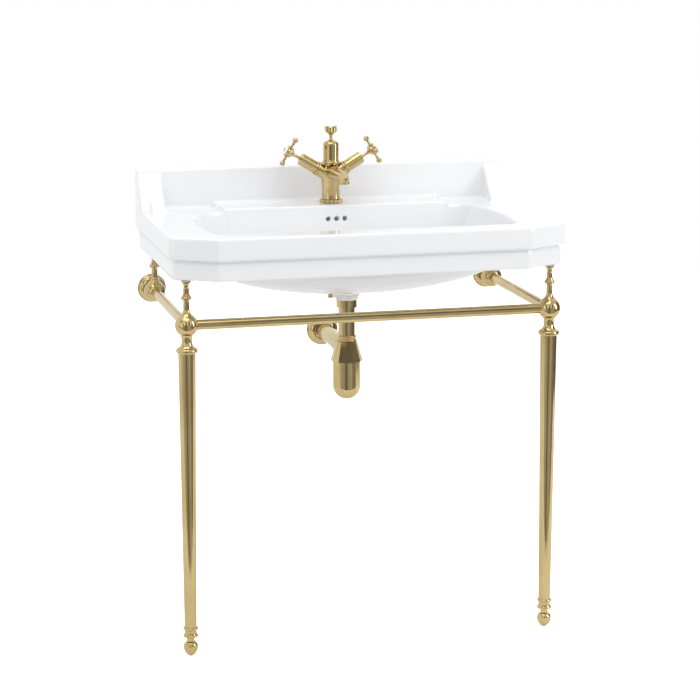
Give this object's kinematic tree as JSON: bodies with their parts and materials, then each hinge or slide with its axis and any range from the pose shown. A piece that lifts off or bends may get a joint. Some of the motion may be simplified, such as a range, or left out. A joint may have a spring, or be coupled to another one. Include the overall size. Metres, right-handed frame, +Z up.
{
  "type": "console sink with legs",
  "caption": "White rectangular console sink with a splash-back on a turned brass stand, with a cross-handle tap, pop-up waste and bottle trap.",
  "frame": {"origin": "on the floor, at the middle of the basin's width and of its depth from front to wall", "axes": "+X to the right of someone who stands at the basin, +Y back to the wall, +Z up"},
  "size_m": [0.8, 0.47, 1.0087],
  "materials": {
    "brass": "satin unlacquered brass",
    "ceramic": "white glazed fireclay",
    "button": "white glazed ceramic",
    "rubber": "black rubber",
    "white_rubber": "white rubber",
    "valve_ceramic": "ground alumina",
    "pad": "clear soft plastic"
  },
  "bodies": {
    "sink": {"basin": "ceramic", "bottle_seal": "rubber", "cold_bonnet": "brass", "cold_seat_disc": "valve_ceramic", "finials": "brass", "front_joint_left": "brass", "front_joint_right": "brass", "front_rail": "brass", "hot_bonnet": "brass", "hot_seat_disc": "valve_ceramic", "leg_ferrule_left": "brass", "leg_ferrule_right": "brass", "leg_left": "brass", "leg_right": "brass", "outlet_pipe": "brass", "pivot_nut": "brass", "rear_joint_left": "brass", "rear_joint_right": "brass", "side_rail_left": "brass", "side_rail_right": "brass", "spout_aerator": "brass", "support_pads": "pad", "tap_backnut": "brass", "tap_base_seal": "rubber", "tap_body": "brass", "tap_dome": "brass", "tap_foot_ring": "brass", "tap_rubber_washer": "rubber", "tap_shank": "brass", "trap_body": "brass", "trap_bottle": "brass", "trap_inlet_tube": "brass", "trap_nut": "brass", "trap_rosette": "brass", "wall_cover_left": "brass", "wall_cover_right": "brass", "wall_plate_left": "brass", "wall_plate_right": "brass", "waste_flange": "brass", "waste_gasket": "white_rubber", "waste_port_nut": "brass", "waste_seal": "rubber"},
    "hot_valve": {"hot_spindle": "brass", "hot_handle": "brass", "hot_index_disc": "button"},
    "cold_valve": {"cold_spindle": "brass", "cold_handle": "brass", "cold_index_disc": "button"},
    "lift": {"lift_rod": "brass", "lift_knob": "brass", "lift_knob_disc": "button", "lift_strap": "brass", "lift_clamp": "brass"},
    "lever": {"pivot_lever": "brass"},
    "plug": {"waste_plug": "brass", "plug_seal": "rubber"},
    "foot_left": {"foot_left": "brass"},
    "foot_right": {"foot_right": "brass"}
  },
  "joints": [
    {"name": "hot_turn", "type": "hinge", "parent": "sink", "child": "hot_valve", "pos_m": [0, 0.15, 0.902], "axis": [-0.8572, 0, 0.515], "range_deg": [0, 90]},
    {"name": "cold_turn", "type": "hinge", "parent": "sink", "child": "cold_valve", "pos_m": [0, 0.15, 0.902], "axis": [0.8572, 0, 0.515], "range_deg": [-90, 0]},
    {"name": "lift_slide", "type": "slide", "parent": "sink", "child": "lift", "axis": [0, 0, 1], "range_m": [0, 0.018]},
    {"name": "lever_rock", "type": "hinge", "parent": "sink", "child": "lever", "pos_m": [0, 0.044, 0.6595], "axis": [1, 0, 0], "range_deg": [0, 9.73]},
    {"name": "plug_slide", "type": "slide", "parent": "sink", "child": "plug", "axis": [0, 0, 1], "range_m": [-0.00494, 0]},
    {"name": "foot_left_level", "type": "slide", "parent": "sink", "child": "foot_left", "axis": [0, 0, 1], "range_m": [-0.006, 0.003]},
    {"name": "foot_right_level", "type": "slide", "parent": "sink", "child": "foot_right", "axis": [0, 0, 1], "range_m": [-0.006, 0.003]}
  ],
  "couplings": [
    {"joint": "lever_rock", "follows": "lift_slide", "rad_per_m": 9.4114},
    {"joint": "plug_slide", "follows": "lift_slide", "ratio": -0.27359}
  ]
}
